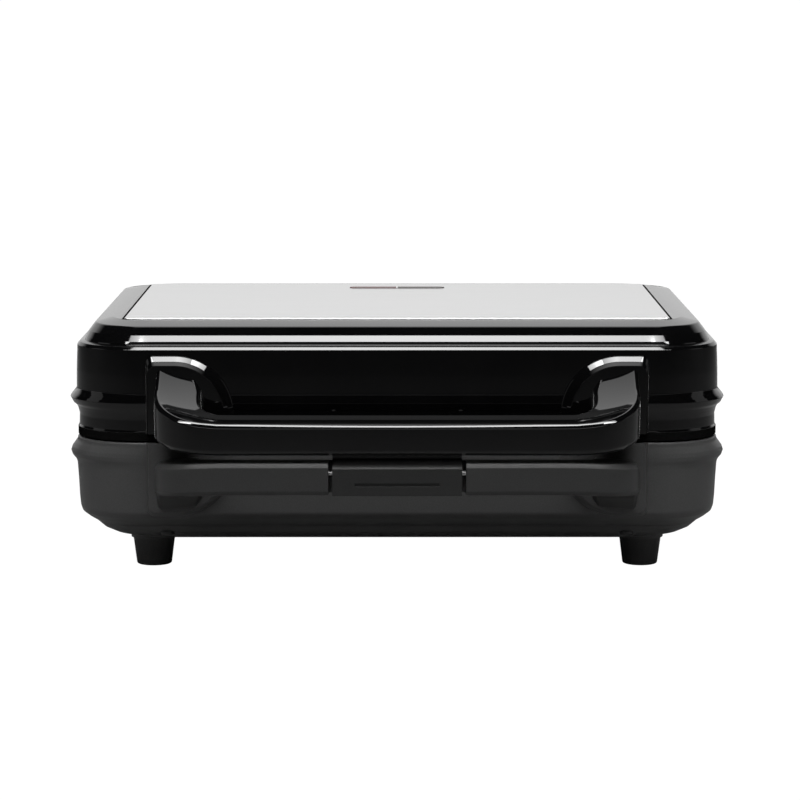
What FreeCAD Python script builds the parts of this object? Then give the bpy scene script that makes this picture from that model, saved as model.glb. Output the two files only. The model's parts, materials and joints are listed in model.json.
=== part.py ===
import FreeCAD
import Part
import math
import os
from FreeCAD import Vector

# A two-slice sandwich maker with a hinged lid, in millimetres.
# +X is to the right, +Y is to the back, +Z is up.
# The origin is the middle of the footprint of the whole appliance, on the table.

# Case
case_width = 252.0
case_depth = 190.0
case_corner_r = 26.0
case_wall = 2.5
foot_height = 11.0
cover_height = 8.2
base_height = 34.0
case_gap = 3.7
lid_wall_height = 33.9
crown_height = 7.9
ridge_out = 3.0
ridge_end_out = 0.45
skirt_in = 6.9
lip_in = 0.1
lip_width = 5.0
lip_gap = 0.7
overrun = 2.0

# Clearances
running_gap = 0.05
part_gap = 0.3
seam_gap = 0.15

# Crown of the lid
rim_round = 0.6
rim_width = 2.6
rim_step = 0.45
crown_side_in = 13.0
crown_end_in = 19.0
crown_corner_r = 18.0
crown_sweep = 80.0
crown_levels = 6

# Panel and lenses
panel_side_margin = 18.6
panel_front_margin = 24.0
panel_back_margin = 25.0
panel_thickness = 1.2
panel_proud = 0.4
panel_gap = 1.0
panel_corner_r = 1.5
lens_strip_width = 40.8
lens_strip_depth = 5.6
lens_back_margin = 14.5
lens_divider = 0.5
lens_proud = 0.3
lamp_r = 2.2
lamp_length = 14.0
lamp_holder_depth = 11.0
lamp_holder_height = 6.5
lamp_holder_wall = 1.6

# Handles
handle_reach = 34.0
handle_side_margin = 33.3
handle_bar_depth = 14.0
handle_arm_width = 17.2
handle_corner_r = 18.0
grip_corner_r = 9.0
handle_gap = 3.6
upper_bar_height = 12.0
lower_bar_height = 12.4
arch_run = 27.0
arch_rise = 5.8
arch_under_rise = 3.0
arm_rise = 11.7
arm_under_rise = 3.9
arm_power = 2
arm_shoulder_r = 8.0
lower_arch_rise = 1.7
lower_arch_top_rise = 2.0
lower_arm_rise = 9.0
lower_arm_top_rise = 1.9
lower_arm_power = 4
boss_proud = 3.0
boss_side_margin = 3.5
boss_top_margin = 0.9
boss_side_flare = 1.0
boss_top_flare = 3.8
boss_inner_flare = 5.0
boss_corner_r = 3.0
boss_arch_r = 14.0

# Latch
latch_width = 49.0
latch_side_gap = 1.5
latch_face_height = 10.9
latch_plate = 2.4
latch_neck = 2.4
latch_neck_back = 5.9
latch_shoulder = 2.6
latch_hook_reach = 2.0
latch_hook_height = 2.2
latch_rise = 6.4
latch_overlap = 1.5
latch_eye_r = 2.7
latch_recess_depth = 9.0
latch_pocket_wall = 2.4
latch_groove_width = 32.0
latch_groove_height = 1.2
latch_groove_depth = 0.5
pin_r = 1.0
pin_back = 4.5
pin_up = 8.2
pin_seat = 6.0
spring_wire_r = 0.3
spring_r = 1.6
spring_turns = 4
spring_seat_depth = 1.0

# Hinge
hinge_setback = 6.5
knuckle_r = 5.5
hinge_pin_r = 2.5
hinge_pin_head_r = 3.6
hinge_pin_head = 1.2
hinge_span = 34.0
hinge_side_margin = 42.0
ear_width = 9.0
conduit_r = 3.4
conduit_bore_r = 2.2
conduit_length = 36.0

# Cooking plates
plate_side_margin = 13.0
plate_end_margin = 22.0
plate_corner_r = 16.0
plate_thickness = 3.0
plate_gap = 0.8
plate_fit_gap = 0.5
plate_margin = 14.0
plate_bridge = 10.0
pocket_depth = 13.0
pocket_wall = 2.5
pocket_draft = 20.0
pocket_inset = 2.0
pocket_corner_r = 7.0
ledge_width = 4.0
ledge_thickness = 2.5
deck_thickness = 2.5
plate_boss_r = 3.6
plate_boss_spread = 100.0

# Heating parts
element_r = 3.0
element_edge = 9.5
element_corner_r = 12.0
saddle_width = 8.0
saddle_wall = 0.8
saddle_spread_share = 0.5
terminal_pin_length = 14.0
terminal_pin_spread = 24.0
reflector_sheet = 0.6
reflector_depth = 15.1
thermostat_r = 8.0
thermostat_height = 8.0
thermostat_rim = 1.5
fuse_r = 2.1
fuse_length = 16.0
block_width = 34.0
block_depth = 13.0
block_height = 12.0
block_bores = 3
block_bore_r = 2.0

# Cord inlet
gland_x = -62.0
gland_barrel_r = 6.0
gland_flange_r = 8.0
gland_bore_r = 3.8
gland_flange = 1.8

# Feet
foot_top_r = 8.3
foot_base_r = 7.0
foot_edge_r = 0.8
foot_side_margin = 29.0
foot_front_margin = 32.0
foot_back_margin = 22.0
foot_seat_wall = 0.8

# Fasteners
screw_r = 1.4
screw_head_r = 2.8
screw_head = 1.2
screw_gap = 0.1
post_r = 4.4
post_side_margin = 36.0
case_screw_grip = 12.0
plate_screw_grip = 9.0
handle_screw_grip = 12.0

# Places that follow from the sizes above
total_depth = handle_reach + case_depth + hinge_setback + knuckle_r
front_y = handle_reach - total_depth / 2
back_y = front_y + case_depth
case_mid_y = (front_y + back_y) / 2
handle_front_y = front_y - handle_reach
hinge_y = back_y + hinge_setback
cover_top = foot_height + cover_height
base_top = cover_top + base_height
lid_bottom = base_top + case_gap
crease_z = lid_bottom + lid_wall_height
crown_z = crease_z + crown_height
parting_z = base_top + case_gap / 2
inner_in = rim_round + case_wall
half_case = case_width / 2
panel_width = case_width - panel_side_margin * 2
handle_width = case_width - handle_side_margin * 2
plate_width = case_width - plate_side_margin * 2
plate_depth = case_depth - plate_end_margin * 2
hinge_centre = half_case - hinge_side_margin
post_x = half_case - post_side_margin
post_edge = (inner_in + plate_end_margin - plate_fit_gap - ledge_thickness) / 2
foot_x = half_case - foot_side_margin


def rounded_rect(half_width, y0, y1, radius, z):
    """A level outline with round corners, symmetric about X = 0."""
    x0, x1 = -half_width, half_width
    corners = [(x1, y0, -1, 1), (x1, y1, -1, -1), (x0, y1, 1, -1), (x0, y0, 1, 1)]
    edges = []
    diagonal = radius * (1 - math.sqrt(0.5))
    ends = []
    for index, (x, y, sx, sy) in enumerate(corners):
        along_x = Vector(x + sx * radius, y, z)
        along_y = Vector(x, y + sy * radius, z)
        middle = Vector(x + sx * diagonal, y + sy * diagonal, z)
        ends.append((along_x, middle, along_y) if index % 2 == 0 else (along_y, middle, along_x))
    for index, (start, middle, end) in enumerate(ends):
        edges.append(Part.Arc(start, middle, end).toShape())
        edges.append(Part.LineSegment(end, ends[(index + 1) % 4][0]).toShape())
    return Part.Wire(edges)


def slab(half_width, y0, y1, radius, z0, z1):
    """An upright block with a rounded-rectangle outline."""
    face = Part.Face(rounded_rect(half_width, y0, y1, radius, z0))
    return face.extrude(Vector(0, 0, z1 - z0))


def box(x0, x1, y0, y1, z0, z1):
    return Part.makeBox(x1 - x0, y1 - y0, z1 - z0, Vector(x0, y0, z0))


def stack(wires):
    """A solid with straight walls from each outline to the next."""
    return Part.makeLoft(wires, True, True)


def rod(x, y, z, radius, length, direction):
    return Part.makeCylinder(radius, length, Vector(x, y, z), direction)


UP = Vector(0, 0, 1)
DOWN = Vector(0, 0, -1)
RIGHT = Vector(1, 0, 0)
BACK = Vector(0, 1, 0)
FRONT = Vector(0, -1, 0)


def fuse_all(shapes):
    """Joins the shapes into one solid."""
    joined = shapes[0].multiFuse(shapes[1:]) if len(shapes) > 1 else shapes[0]
    return joined.removeSplitter()


def mirrored_x(shape):
    return shape.mirror(Vector(0, 0, 0), RIGHT)


def mirrored_z(shape):
    """The same shape on the other side of the parting plane between base and lid."""
    return shape.mirror(Vector(0, 0, parting_z), UP)


def group(shapes):
    return Part.makeCompound(shapes)


def bent_outline(points, radii):
    """A closed polygon with a tangent arc at each corner whose radius isn't 0."""
    count = len(points)
    cut = []
    for index, (corner, radius) in enumerate(zip(points, radii)):
        if radius == 0:
            cut.append((corner, None, corner))
            continue
        before = (points[index - 1] - corner).normalize()
        after = (points[(index + 1) % count] - corner).normalize()
        half_angle = before.getAngle(after) / 2
        reach = radius / math.tan(half_angle)
        centre = corner + (before + after).normalize() * (radius / math.sin(half_angle))
        middle = centre + (corner - centre).normalize() * radius
        cut.append((corner + before * reach, middle, corner + after * reach))
    edges = []
    for index, (start, middle, end) in enumerate(cut):
        if middle is not None:
            edges.append(Part.Arc(start, middle, end).toShape())
        edges.append(Part.LineSegment(end, cut[(index + 1) % count][0]).toShape())
    return Part.Wire(edges)


def inset_polygon(points, distance):
    """Moves each side of a convex counter-clockwise polygon inwards."""
    count = len(points)
    moved = []
    for index, corner in enumerate(points):
        before = (corner - points[index - 1]).normalize()
        after = (points[(index + 1) % count] - corner).normalize()
        inward_before = UP.cross(before)
        inward_after = UP.cross(after)
        both = inward_before + inward_after
        moved.append(corner + both * (distance / (1 + inward_before.dot(inward_after))))
    return moved


# Outline of the case at one height, moved out at the sides and at the two ends
def case_outline(z, side_out, end_out, radius=None):
    corner = case_corner_r + (side_out + end_out) / 2 if radius is None else radius
    return rounded_rect(half_case + side_out, front_y - end_out, back_y + end_out, corner, z)


def ridge_level(bottom, height, height_share, ridge_share):
    """An outline on a case wall, where the ridge stands out at the sides and fades at the ends."""
    return case_outline(bottom + height * height_share, ridge_out * ridge_share, ridge_end_out * ridge_share)


# Height share of the wall, and the share of the ridge's reach there
lid_wall_shares = [
    (0.0, -0.03), (0.03, -0.2), (0.15, -0.24), (0.21, -0.07), (0.25, 0.15), (0.28, 0.6),
    (0.34, 1.0), (0.37, 0.8), (0.415, 0.36), (0.445, 0.13), (0.66, 0.1), (0.93, -0.03),
]
base_wall_shares = [
    (0.16, -0.25), (0.3, -0.11), (0.5, 0.0), (0.69, 0.15), (0.735, 0.4), (0.775, 0.83),
    (0.82, 1.0), (0.865, 0.83), (0.91, 0.42), (0.945, 0.05), (1.0, 0.05),
]


def crown_outline(angle, deeper=0.0):
    """A level of the crown, which curves like a quarter of an ellipse from its rim to its flat top."""
    rim_in = rim_round + rim_width
    rim_z = crease_z + rim_step
    run = math.sin(math.radians(angle)) / math.sin(math.radians(crown_sweep))
    drop = (1 - math.cos(math.radians(angle))) / (1 - math.cos(math.radians(crown_sweep)))
    side_in = crown_side_in + (rim_in - crown_side_in) * run + deeper
    end_in = crown_end_in + (rim_in - crown_end_in) * run + deeper
    corner = crown_corner_r + (case_corner_r - rim_in - crown_corner_r) * run
    return case_outline(crown_z + (rim_z - crown_z) * drop - deeper, -side_in, -end_in, corner)


def lid_outer():
    wires = [ridge_level(lid_bottom, lid_wall_height, height, out) for height, out in lid_wall_shares]
    wires.append(case_outline(crease_z, -rim_round, -rim_round))
    wires.append(case_outline(crease_z + rim_step / 4, -rim_round - rim_width, -rim_round - rim_width))
    wires += [crown_outline(crown_sweep * (1 - level / crown_levels)) for level in range(crown_levels + 1)]
    return stack(wires)


def lid_cavity():
    wires = [
        case_outline(lid_bottom - overrun, -inner_in, -inner_in),
        case_outline(crease_z - case_wall, -inner_in, -inner_in),
    ]
    wires += [crown_outline(crown_sweep * share, case_wall) for share in (0.8, 0.6, 0.4, 0.0)]
    return stack(wires)


def base_outer():
    wires = [
        case_outline(cover_top, -skirt_in, -skirt_in),
        case_outline(cover_top + base_height * 0.11, -ridge_out / 2, -ridge_out / 2),
    ]
    wires += [ridge_level(cover_top, base_height, height, out) for height, out in base_wall_shares]
    return stack(wires)


def base_cavity():
    deep_in = skirt_in + case_wall
    return stack([
        case_outline(cover_top - overrun, -deep_in, -deep_in),
        case_outline(cover_top, -deep_in, -deep_in),
        case_outline(cover_top + base_height * 0.11, -inner_in, -inner_in),
        case_outline(base_top - deck_thickness, -inner_in, -inner_in),
    ])


# Places of the case posts and their screws
post_places = [
    (side * post_x, y)
    for side in (-1, 1)
    for y in (front_y + post_edge, back_y - post_edge)
]


def deck_opening():
    """The hole in the deck for a cooking plate, with the ledge that carries the plate."""
    half_w = plate_width / 2 + plate_fit_gap
    half_d = plate_depth / 2 + plate_fit_gap
    ledge_top = parting_z - plate_gap / 2 - plate_thickness
    mid = case_mid_y
    upper = slab(half_w, mid - half_d, mid + half_d, plate_corner_r, ledge_top, base_top + overrun)
    inner_w = half_w - ledge_width
    inner_d = half_d - ledge_width
    low = ledge_top - ledge_thickness - overrun
    inner = slab(inner_w, mid - inner_d, mid + inner_d, plate_corner_r - ledge_width, low, ledge_top)
    return upper.fuse(inner)


def deck_ledge():
    """The rib under the deck round the plate's hole."""
    half_w = plate_width / 2 + plate_fit_gap + ledge_thickness
    half_d = plate_depth / 2 + plate_fit_gap + ledge_thickness
    ledge_top = parting_z - plate_gap / 2 - plate_thickness
    low = ledge_top - ledge_thickness
    corner = plate_corner_r + ledge_thickness
    return slab(half_w, case_mid_y - half_d, case_mid_y + half_d, corner, low, base_top - deck_thickness / 2)


# The cooking plates
field_half_depth = plate_depth / 2 - plate_margin
field_inner_x = plate_bridge / 2
field_outer_x = plate_width / 2 - plate_margin
plate_rim_z = parting_z - plate_gap / 2
plate_under_z = plate_rim_z - plate_thickness
pocket_floor_z = plate_rim_z - pocket_depth
pocket_under_z = pocket_floor_z - pocket_wall


def pocket_triangles():
    """The four triangles of a plate: two in each square field, either side of its diagonal."""
    y0 = case_mid_y - field_half_depth
    y1 = case_mid_y + field_half_depth
    inner_front = Vector(field_inner_x, y0, 0)
    outer_front = Vector(field_outer_x, y0, 0)
    outer_back = Vector(field_outer_x, y1, 0)
    inner_back = Vector(field_inner_x, y1, 0)
    right = [[inner_front, outer_front, outer_back], [inner_front, outer_back, inner_back]]
    left = [[Vector(-p.x, p.y, 0) for p in reversed(triangle)] for triangle in right]
    return right + left


def tapered_triangle(points, inset, z_top, z_low, corner_top):
    """A triangular frustum that narrows downwards at the pocket's draft."""
    narrowing = (z_top - z_low) * math.tan(math.radians(pocket_draft))
    wires = []
    for z, extra, radius in ((z_top, 0, corner_top), (z_low, narrowing, corner_top / 2)):
        level = [Vector(p.x, p.y, z) for p in inset_polygon(points, inset + extra)]
        wires.append(bent_outline(level, [radius] * len(level)))
    return stack(wires)


def plate_boss_places():
    return [(0, case_mid_y - plate_boss_spread / 2), (0, case_mid_y + plate_boss_spread / 2)]


def reflector_floor_z():
    return plate_under_z - ledge_thickness - reflector_depth


def cooking_plate():
    """The lower plate: a cast flange with four triangular pockets and two screw bosses."""
    y0 = case_mid_y - plate_depth / 2
    y1 = case_mid_y + plate_depth / 2
    plate = slab(plate_width / 2, y0, y1, plate_corner_r - plate_fit_gap, plate_under_z, plate_rim_z)
    skins = []
    pockets = []
    for triangle in pocket_triangles():
        outer_inset = pocket_inset - pocket_wall
        skin_r = pocket_corner_r + pocket_wall
        skins.append(tapered_triangle(triangle, outer_inset, plate_rim_z, pocket_under_z, skin_r))
        pockets.append(tapered_triangle(triangle, pocket_inset, plate_rim_z, pocket_floor_z, pocket_corner_r))
    boss_low = reflector_floor_z() + reflector_sheet
    bosses = [rod(x, y, boss_low, plate_boss_r, plate_under_z - boss_low, UP) for x, y in plate_boss_places()]
    plate = plate.multiFuse(skins + bosses)
    plate = plate.cut(pockets)
    holes = [
        rod(x, y, boss_low - overrun, screw_r + screw_gap, plate_screw_grip + overrun, UP)
        for x, y in plate_boss_places()
    ]
    return plate.cut(holes).removeSplitter()


element_half_w = plate_width / 2 - element_edge
element_half_d = plate_depth / 2 - element_edge
element_z = plate_under_z - element_r


def heating_element():
    """A tube loop under the plate's flange, with two ends turned down at the back."""
    y0 = case_mid_y - element_half_d
    y1 = case_mid_y + element_half_d
    loop = rounded_rect(element_half_w, y0, y1, element_corner_r, element_z)
    section = Part.Wire(Part.makeCircle(element_r, Vector(0, y0, element_z), RIGHT))
    tube = loop.makePipeShell([section], True, False)
    pins = []
    for side in (-1, 1):
        x = side * terminal_pin_spread / 2
        pins.append(rod(x, y1, element_z - terminal_pin_length, element_r / 2, terminal_pin_length, UP))
    return tube.multiFuse(pins)


def element_saddles():
    """Four U-shaped clips that hold the loop to the flange."""
    saddles = []
    reach = element_r + saddle_wall
    half = saddle_width / 2
    low = element_z - reach
    top = plate_under_z + overrun
    for side in (-1, 1):
        x = side * element_half_w
        y = case_mid_y
        clip = box(x - reach, x + reach, y - half, y + half, low, plate_under_z)
        bore = rod(x, y - saddle_width, element_z, element_r, saddle_width * 2, BACK)
        slot = box(x - element_r, x + element_r, y - saddle_width, y + saddle_width, element_z, top)
        saddles.append(clip.cut(bore.fuse(slot)))
        x = side * element_half_w * saddle_spread_share
        y = case_mid_y - element_half_d
        clip = box(x - half, x + half, y - reach, y + reach, low, plate_under_z)
        bore = rod(x - saddle_width, y, element_z, element_r, saddle_width * 2, RIGHT)
        slot = box(x - saddle_width, x + saddle_width, y - element_r, y + element_r, element_z, top)
        saddles.append(clip.cut(bore.fuse(slot)))
    return group(saddles)


def thermostat_place():
    """Under the pocket nearest the left back corner, in the middle of its floor."""
    x = -(field_inner_x + (field_outer_x - field_inner_x) / 3)
    y = case_mid_y + field_half_depth / 3
    return x, y


def reflector():
    """A sheet pan that hangs under the ledge and throws the heat back to the plate."""
    half_w = plate_width / 2 + plate_fit_gap - ledge_width - part_gap
    half_d = plate_depth / 2 + plate_fit_gap - ledge_width - part_gap
    corner = plate_corner_r - ledge_width
    rim_z = plate_under_z - ledge_thickness
    floor_z = reflector_floor_z()
    rim = half_w + ledge_width
    y0 = case_mid_y - half_d
    y1 = case_mid_y + half_d
    body = slab(half_w, y0, y1, corner, floor_z, rim_z)
    sheet = reflector_sheet
    flange = slab(rim, y0 - ledge_width, y1 + ledge_width, corner + ledge_width, rim_z - sheet, rim_z)
    hollow = slab(half_w - sheet, y0 + sheet, y1 - sheet, corner - sheet, floor_z + sheet, rim_z + overrun)
    pan = body.fuse(flange).cut(hollow)
    hole_r = screw_r + screw_gap
    holes = [rod(x, y, floor_z - overrun, hole_r, overrun * 2, UP) for x, y in plate_boss_places()]
    for side in (-1, 1):
        pin_x = side * terminal_pin_spread / 2
        pin_y = case_mid_y + element_half_d
        holes.append(rod(pin_x, pin_y, floor_z - overrun, element_r, overrun * 2, UP))
    return pan, holes


def lower_reflector():
    pan, holes = reflector()
    x, y = thermostat_place()
    holes.append(rod(x, y, reflector_floor_z() - overrun, thermostat_r + part_gap, overrun * 2, UP))
    return pan.cut(holes).removeSplitter()


def upper_reflector():
    pan, holes = reflector()
    return mirrored_z(pan.cut(holes).removeSplitter())


def screw(x, y, z, grip, direction):
    """A screw whose head bears at the given point and whose shank runs along the direction."""
    head = rod(x, y, z, screw_head_r, screw_head, -direction)
    shank = rod(x, y, z, screw_r, grip, direction)
    return head.fuse(shank).removeSplitter()


def plate_screws():
    grip = plate_screw_grip - part_gap
    return group([screw(x, y, reflector_floor_z(), grip, UP) for x, y in plate_boss_places()])


def thermostat():
    """A disc thermostat pressed against the underside of a pocket."""
    x, y = thermostat_place()
    cup = rod(x, y, pocket_under_z - thermostat_height / 2, thermostat_r, thermostat_height / 2, UP)
    low = pocket_under_z - thermostat_height
    body = rod(x, y, low, thermostat_r - thermostat_rim, thermostat_height / 2, UP)
    blades = []
    for side in (-1, 1):
        x0 = x + side * thermostat_r / 2
        thin = thermostat_rim / 3
        tip_z = low - thermostat_height / 2
        blades.append(box(x0 - thin, x0 + thin, y - thermostat_rim, y + thermostat_rim, tip_z, low))
    return fuse_all([cup, body] + blades)


def thermal_fuse():
    """A capsule fuse lying against the underside of a pocket."""
    x, y = thermostat_place()
    return rod(-x - fuse_length / 2, y, pocket_under_z - fuse_r, fuse_r, fuse_length, RIGHT)


def terminal_block_place():
    x0 = gland_x - block_width / 2
    y0 = back_y - skirt_in * cover_shares[-1][1] - case_wall - block_depth * 1.5
    return x0, y0


def cover_floor_z():
    return foot_height + case_wall


def terminal_block():
    """A screw terminal strip that stands on the cover's floor."""
    x0, y0 = terminal_block_place()
    z0 = cover_floor_z()
    block = box(x0, x0 + block_width, y0, y0 + block_depth, z0, z0 + block_height)
    pitch = block_width / block_bores
    cuts = []
    for index in range(block_bores):
        x = x0 + pitch * (index + 0.5)
        length = block_depth + overrun * 2
        cuts.append(rod(x, y0 - overrun, z0 + block_height / 3, block_bore_r, length, BACK))
        cuts.append(rod(x, y0 + block_depth / 2, z0 + block_height / 2, block_bore_r, block_height, UP))
    return block.cut(cuts).removeSplitter()


def gland_z():
    return (cover_top + base_top) / 2 - case_gap


def cord_gland():
    """The bush that lines the cord's hole in the back wall."""
    z = gland_z()
    outer_y = back_y + seam_gap
    inner_y = back_y - inner_in - gland_flange
    barrel = rod(gland_x, inner_y, z, gland_barrel_r, outer_y - inner_y, BACK)
    outer = rod(gland_x, outer_y, z, gland_flange_r, gland_flange, BACK)
    inner = rod(gland_x, inner_y, z, gland_flange_r, gland_flange, BACK)
    bore = rod(gland_x, inner_y - overrun, z, gland_bore_r, inner_in + gland_flange * 2 + overrun * 3, BACK)
    return fuse_all([barrel, outer, inner]).cut(bore)


# Handles: the upper one is shaped here, and each part of it has its own side of the grip
handle_half = handle_width / 2
boss_face_y = front_y - boss_proud
grip_half = handle_half - handle_arm_width


def arched_section(y, low, high, rise_low, rise_high):
    """The handle's section across: level in the middle, with both edges curving up at the ends."""
    flat = handle_half - arch_run

    def curve(z, rise):
        radius = (arch_run ** 2 + rise ** 2) / (2 * rise)
        middle = radius - math.sqrt(radius ** 2 - (arch_run / 2) ** 2)
        return [
            Vector(-handle_half, y, z + rise), Vector(-flat - arch_run / 2, y, z + middle),
            Vector(-flat, y, z), Vector(flat, y, z),
            Vector(flat + arch_run / 2, y, z + middle), Vector(handle_half, y, z + rise),
        ]

    a, b, c, d, e, f = curve(low, rise_low)
    k, l, m, n, o, p = curve(high, rise_high)
    return Part.Wire([
        Part.Arc(a, b, c).toShape(), Part.LineSegment(c, d).toShape(), Part.Arc(d, e, f).toShape(),
        Part.LineSegment(f, p).toShape(),
        Part.Arc(p, o, n).toShape(), Part.LineSegment(n, m).toShape(), Part.Arc(m, l, k).toShape(),
        Part.LineSegment(k, a).toShape(),
    ])


# Where the arm's round shoulder begins, and its levels, as shares of the handle's depth
shoulder_start_share = 0.7
shoulder_shares = (0.74, 0.87, 1.0)


def arm_shoulder(high, top_rise, top_sweep, power):
    """What rounds off the inner top edge of the right arm, more and more towards its root."""
    wires = []
    for share in shoulder_shares:
        y = handle_front_y + (boss_face_y - handle_front_y) * share
        lift = share ** power
        radius = arm_shoulder_r * (share - shoulder_start_share) / (1 - shoulder_start_share)
        z = high + (top_rise + top_sweep) * lift
        corner = radius * (1 - math.sqrt(0.5))
        side = Vector(grip_half, y, z - radius)
        bend = Vector(grip_half + corner, y, z - corner)
        top = Vector(grip_half + radius, y, z)
        above = z + top_rise + overrun
        inside_x = grip_half - overrun
        beyond = [Vector(top.x, y, above), Vector(inside_x, y, above), Vector(inside_x, y, side.z)]
        loop = [top] + beyond + [side]
        edges = [Part.LineSegment(a, b).toShape() for a, b in zip(loop, loop[1:])]
        wires.append(Part.Wire([Part.Arc(side, bend, top).toShape()] + edges))
    return stack(wires)


def handle_body(low, high, top_rise, top_sweep, power, under_rise, under_sweep):
    """A U-shaped handle whose top sweeps up to the case in a hollow curve."""
    stations = 7
    run = boss_face_y - handle_front_y
    wires = []
    for index in range(stations):
        share = index / (stations - 1)
        y = handle_front_y + run * share
        lift = share ** power
        under = low + under_sweep * share ** 2
        rise = top_rise * (1 - lift) + running_gap
        wires.append(arched_section(y, under, high + (top_rise + top_sweep) * lift, under_rise, rise))
    block = Part.makeLoft(wires, True, False)
    z0 = low - overrun
    z1 = high + top_sweep + top_rise + overrun
    plan = slab(handle_half, handle_front_y, boss_face_y + handle_corner_r, handle_corner_r, z0, z1)
    grip_y = handle_front_y + handle_bar_depth
    grip = slab(grip_half, grip_y, boss_face_y + handle_corner_r, grip_corner_r, z0 - overrun, z1 + overrun)
    shoulder = arm_shoulder(high, top_rise, top_sweep, power)
    return block.common(plan).cut([grip, shoulder, mirrored_x(shoulder)])


upper_bar_low = parting_z - handle_gap / 2 - seam_gap
upper_bar_high = upper_bar_low + upper_bar_height
lower_bar_high = parting_z - case_gap * 1.3
lower_bar_low = lower_bar_high - lower_bar_height

latch_half = latch_width / 2
recess_half = latch_half + latch_side_gap
latch_front_y = handle_front_y + seam_gap
latch_top_z = lower_bar_low + latch_face_height
pin_y = latch_front_y + pin_back
pin_z = lower_bar_low + pin_up
neck_front_y = latch_front_y + latch_neck_back
neck_back_y = neck_front_y + latch_neck
hook_tip_y = neck_back_y + latch_hook_reach
hook_top_z = upper_bar_low + latch_rise
hook_low_z = hook_top_z - latch_hook_height
ledge_front_y = hook_tip_y - latch_overlap
pocket_front_y = handle_front_y + latch_pocket_wall
pocket_back_y = handle_front_y + handle_bar_depth - latch_pocket_wall / 2


def handle_screw_places(z):
    x = handle_half - handle_arm_width / 2
    return [(-x, z), (x, z)]


upper_screw_z = lid_bottom + lid_wall_height / 3
lower_screw_z = base_top - base_height / 3


def handle_screw_holes(z):
    return [
        rod(x, boss_face_y + overrun, place_z, screw_r + screw_gap, handle_screw_grip + overrun, FRONT)
        for x, place_z in handle_screw_places(z)
    ]


def upper_handle():
    """The lid's handle, with a pocket under its bar for the latch's hook."""
    sizes = (arch_rise, arm_rise, arm_power, arch_under_rise, arm_under_rise)
    handle = handle_body(upper_bar_low, upper_bar_high, *sizes)
    pocket_top = hook_top_z + latch_overlap
    pocket_low = upper_bar_low - overrun
    pocket = box(-recess_half, recess_half, pocket_front_y, pocket_back_y, pocket_low, pocket_top)
    ledge_z = hook_low_z - part_gap
    ledge = box(-recess_half, recess_half, ledge_front_y, pocket_back_y, upper_bar_low, ledge_z)
    return handle.cut(pocket.cut(ledge)).cut(handle_screw_holes(upper_screw_z)).removeSplitter()


def lower_handle():
    """The base's handle: the upper one turned over, with an open recess for the latch."""
    high = upper_bar_low + lower_bar_height
    sizes = (lower_arch_rise, lower_arm_rise, lower_arm_power, lower_arch_top_rise, lower_arm_top_rise)
    upturned = handle_body(upper_bar_low, high, *sizes)
    handle = mirrored_z(upturned)
    handle.translate(Vector(0, 0, lower_bar_high - (2 * parting_z - upper_bar_low)))
    z0 = lower_bar_low - arm_rise - arch_rise - overrun
    z1 = lower_bar_high + overrun
    recess_back = handle_front_y + latch_recess_depth
    recess = box(-recess_half, recess_half, handle_front_y - overrun, recess_back, z0, z1)
    pin_hole = rod(-recess_half - pin_seat, pin_y, pin_z, pin_r, (recess_half + pin_seat) * 2, RIGHT)
    seat_r = spring_r + spring_wire_r + part_gap
    spring_seat = rod(0, recess_back - overrun, spring_z(), seat_r, overrun + spring_seat_depth, BACK)
    cuts = [recess, pin_hole, spring_seat] + handle_screw_holes(lower_screw_z)
    return handle.cut(cuts).removeSplitter()


def latch():
    """The latch: a face plate, a sloped shoulder, and a neck with a hook that points back."""
    y0 = latch_front_y
    y1 = y0 + latch_plate
    shoulder_z = latch_top_z + latch_shoulder
    outline = [
        (y0, lower_bar_low), (y1, lower_bar_low), (y1, latch_top_z - latch_shoulder),
        (neck_back_y, shoulder_z - latch_shoulder), (neck_back_y, hook_low_z),
        (hook_tip_y, hook_low_z), (hook_tip_y, hook_top_z - latch_hook_height / 3),
        (neck_back_y, hook_top_z), (neck_front_y, hook_top_z),
        (neck_front_y, shoulder_z), (y0 + latch_plate / 4, latch_top_z), (y0, latch_top_z - latch_plate / 4),
    ]
    wire = Part.makePolygon([Vector(-latch_half, y, z) for y, z in outline + outline[:1]])
    body = Part.Face(wire).extrude(Vector(latch_width, 0, 0))
    eye = rod(-latch_half, pin_y, pin_z, latch_eye_r, latch_width, RIGHT)
    bore = rod(-latch_half - overrun, pin_y, pin_z, pin_r + running_gap, latch_width + overrun * 2, RIGHT)
    groove_z = lower_bar_low + latch_face_height / 3
    half_groove = latch_groove_width / 2
    groove_z1 = groove_z + latch_groove_height
    groove = box(-half_groove, half_groove, y0 - overrun, y0 + latch_groove_depth, groove_z, groove_z1)
    return body.fuse(eye).cut([bore, groove]).removeSplitter()


def latch_pin():
    return rod(-recess_half - pin_seat, pin_y, pin_z, pin_r, (recess_half + pin_seat) * 2, RIGHT)


def spring_z():
    return lower_bar_low + latch_face_height / 4


def latch_spring():
    """A small coil spring that pushes the foot of the latch forwards."""
    start_y = latch_front_y + latch_plate + spring_wire_r
    end_y = handle_front_y + latch_recess_depth + spring_seat_depth - spring_wire_r
    length = end_y - start_y
    helix = Part.makeHelix(length / spring_turns, length, spring_r)
    section = Part.Wire(Part.makeCircle(spring_wire_r, Vector(spring_r, 0, 0), BACK))
    coil = Part.Wire(helix.Edges).makePipeShell([section], True, True)
    coil.rotate(Vector(0, 0, 0), RIGHT, -90)
    coil.translate(Vector(0, start_y, spring_z()))
    return coil


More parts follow.
